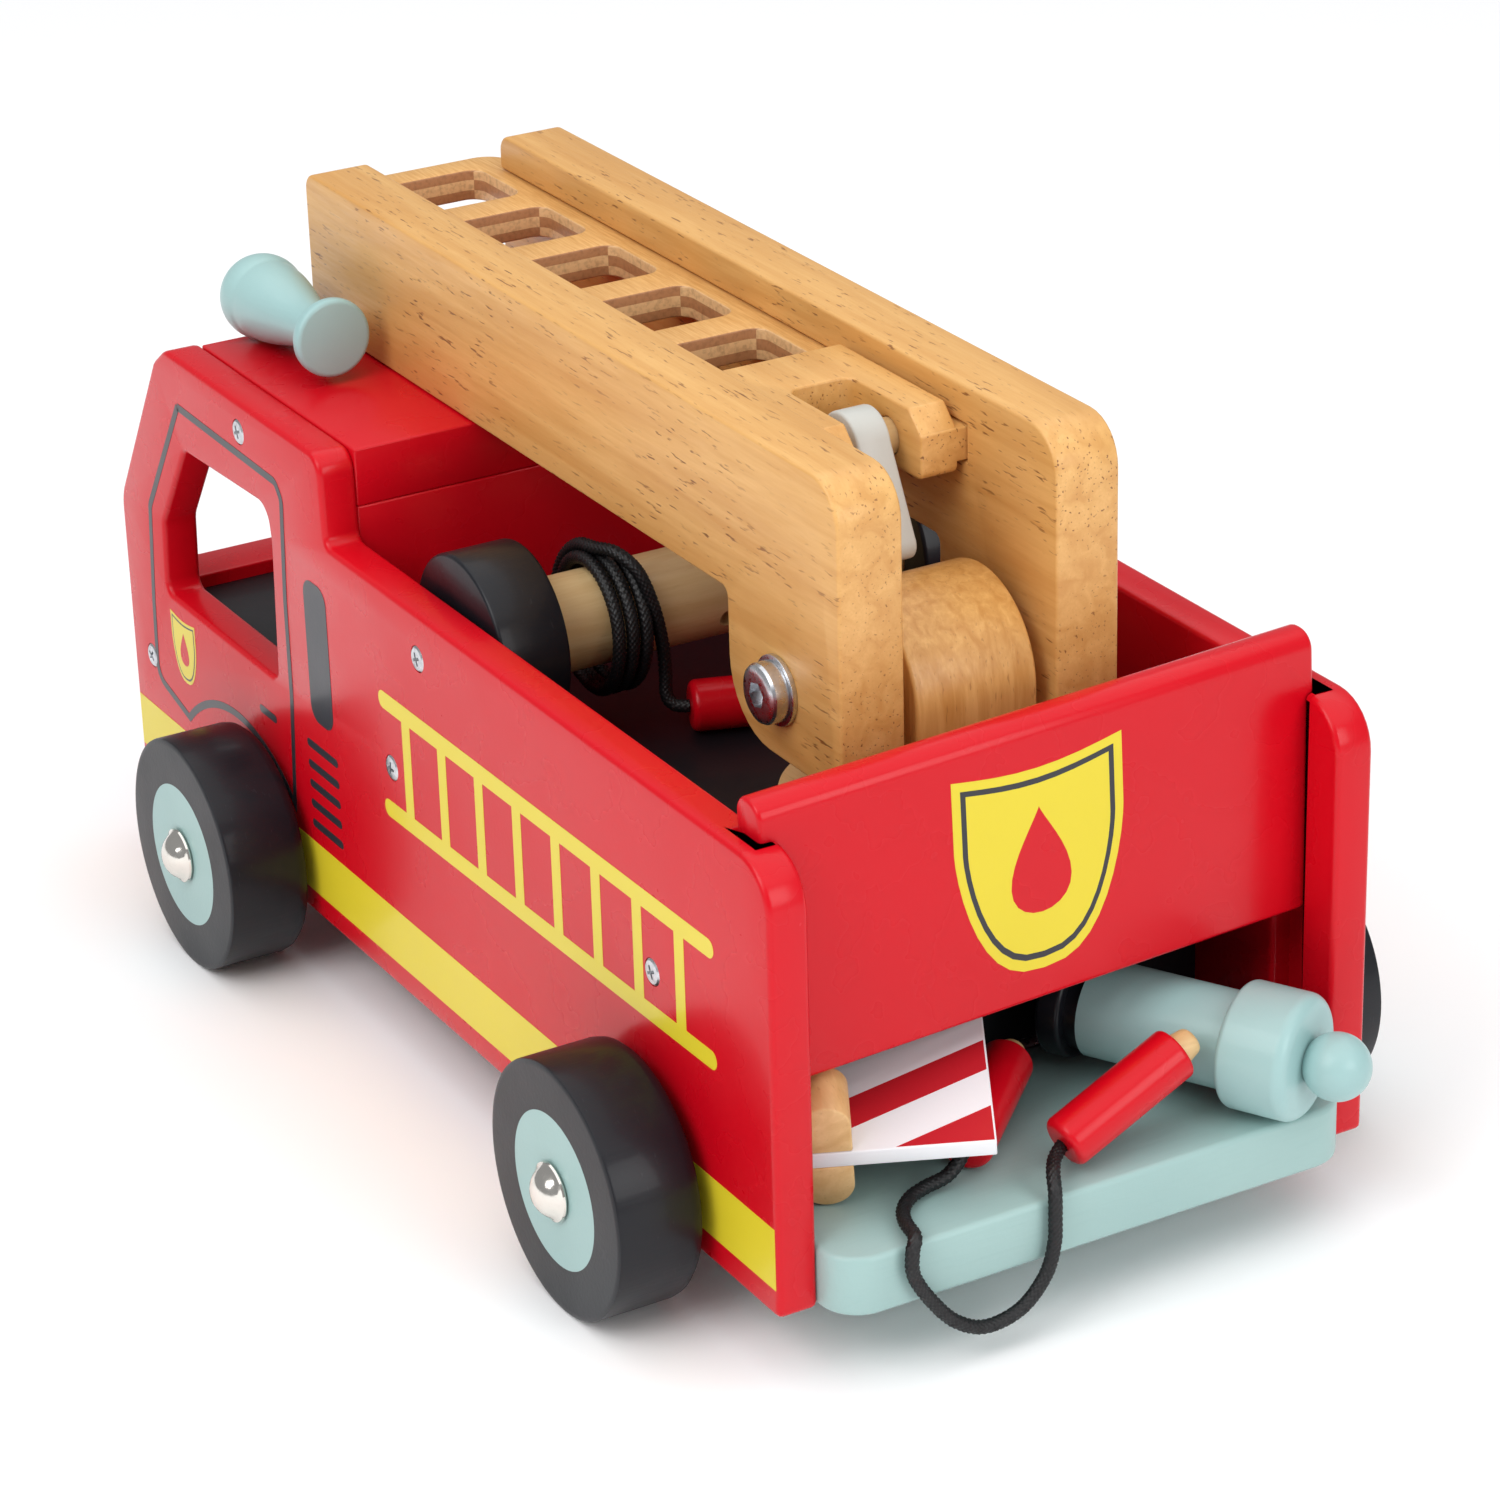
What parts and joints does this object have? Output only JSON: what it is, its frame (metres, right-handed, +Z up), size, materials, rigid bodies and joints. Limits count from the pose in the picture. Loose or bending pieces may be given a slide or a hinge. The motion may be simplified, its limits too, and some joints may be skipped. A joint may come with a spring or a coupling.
{
  "type": "toy fire engine",
  "caption": "Wooden toy fire engine with a turning, lifting and extending ladder, hose reel, sliding tailgate, free-rolling wheels and loose rescue toys in its rear compartment.",
  "frame": {"origin": "centre of the bounding box on the floor, measured without the cords' nodes", "axes": "+X towards the cab's front, +Y to the engine's left, +Z up"},
  "size_m": [0.3352, 0.1968, 0.1718],
  "materials": {
    "red_paint": "satin gloss red paint on plywood and hardwood",
    "black_paint": "satin black paint on wood",
    "wheel_paint": "satin black paint with a pale blue-green hub disc",
    "pale_paint": "satin pale blue-green paint on wood",
    "grey_paint": "light grey satin",
    "sign_paint": "white paint with red slanted stripes",
    "rail_wood": "clear-lacquered hardwood with dark pores",
    "bare_wood": "clear-lacquered light wood",
    "nickel": "polished nickel",
    "zinc": "zinc-plated steel",
    "cord": "braided black cord"
  },
  "bodies": {
    "truck": {"left_side_panel": "red_paint", "right_side_panel": "red_paint", "cab_roof": "red_paint", "cab_rear_wall": "red_paint", "front_panel": "red_paint", "cab_floor": "black_paint", "lower_deck": "pale_paint", "compartment_wall": "black_paint", "bed_floor": "black_paint", "panel_screws": "zinc", "reel_pivot_screws": "zinc", "turntable_screw": "zinc", "front_axle": "zinc", "rear_axle": "zinc", "axle_caps": "nickel", "wheel_washers": "zinc", "reel_cord_coil": "cord", "reel_cord": "cord", "reel_nozzle": "red_paint", "reel_nozzle_tip": "bare_wood", "horn": "pale_paint", "horn_peg": "bare_wood", "hose_cord": "cord", "hose_nozzle_a": "red_paint", "hose_nozzle_a_tip": "bare_wood", "hose_nozzle_b": "red_paint", "hose_nozzle_b_tip": "bare_wood"},
    "front_left_wheel": {"front_left_wheel": "wheel_paint"},
    "front_right_wheel": {"front_right_wheel": "wheel_paint"},
    "rear_left_wheel": {"rear_left_wheel": "wheel_paint"},
    "rear_right_wheel": {"rear_right_wheel": "wheel_paint"},
    "turntable": {"turntable_disc": "bare_wood", "pivot_block": "bare_wood"},
    "ladder": {"ladder_rail_left": "rail_wood", "ladder_rail_right": "rail_wood", "ladder_spacer_bar": "bare_wood", "pivot_bolt": "zinc", "pivot_bolt_nut": "zinc", "pivot_washers": "zinc"},
    "ladder_slide": {"sliding_ladder": "rail_wood", "ladder_tail_block": "rail_wood", "catch_dowel": "bare_wood"},
    "ladder_catch": {"ladder_catch": "grey_paint"},
    "reel": {"reel_dowel": "bare_wood", "reel_disc_left": "black_paint", "reel_disc_right": "black_paint"},
    "tailgate": {"tailgate": "red_paint"},
    "hydrant": {"hydrant_barrel": "pale_paint", "hydrant_collar": "pale_paint", "hydrant_ball": "pale_paint", "hydrant_base": "black_paint"},
    "road_sign": {"sign_board": "sign_paint", "sign_foot": "bare_wood"}
  },
  "joints": [
    {"name": "front_left_wheel_spin", "type": "hinge", "parent": "truck", "child": "front_left_wheel", "pos_m": [0.0911, 0.0836, 0.02775], "axis": [0, 1, 0], "continuous": true},
    {"name": "front_right_wheel_spin", "type": "hinge", "parent": "truck", "child": "front_right_wheel", "pos_m": [0.0911, -0.0836, 0.02775], "axis": [0, 1, 0], "continuous": true},
    {"name": "rear_left_wheel_spin", "type": "hinge", "parent": "truck", "child": "rear_left_wheel", "pos_m": [-0.0934, 0.0836, 0.02775], "axis": [0, 1, 0], "continuous": true},
    {"name": "rear_right_wheel_spin", "type": "hinge", "parent": "truck", "child": "rear_right_wheel", "pos_m": [-0.0934, -0.0836, 0.02775], "axis": [0, 1, 0], "continuous": true},
    {"name": "turntable_turn", "type": "hinge", "parent": "truck", "child": "turntable", "pos_m": [-0.0844, 0, 0.085], "axis": [0, 0, 1], "range_deg": [-35, 1]},
    {"name": "ladder_lift", "type": "hinge", "parent": "turntable", "child": "ladder", "pos_m": [-0.0844, 0, 0.1205], "axis": [0, -1, 0], "range_deg": [0, 38]},
    {"name": "ladder_extend", "type": "slide", "parent": "ladder", "child": "ladder_slide", "axis": [1, 0, 0], "range_m": [0, 0.134]},
    {"name": "ladder_catch_swing", "type": "hinge", "parent": "ladder_slide", "child": "ladder_catch", "pos_m": [-0.0614, 0, 0.159], "axis": [0, 1, 0], "range_deg": [0, 60]},
    {"name": "hose_reel_spin", "type": "hinge", "parent": "truck", "child": "reel", "pos_m": [0.0046, 0, 0.1037], "axis": [0, 1, 0], "continuous": true},
    {"name": "tailgate_lift", "type": "slide", "parent": "truck", "child": "tailgate", "axis": [0, 0, -1], "range_m": [-0.055, 0]},
    {"name": "hydrant_out", "type": "slide", "parent": "truck", "child": "hydrant", "axis": [-0.8771, -0.4802, 0], "range_m": [0, 0.09]},
    {"name": "road_sign_out", "type": "slide", "parent": "truck", "child": "road_sign", "axis": [-1, 0, 0], "range_m": [0, 0.075]}
  ]
}
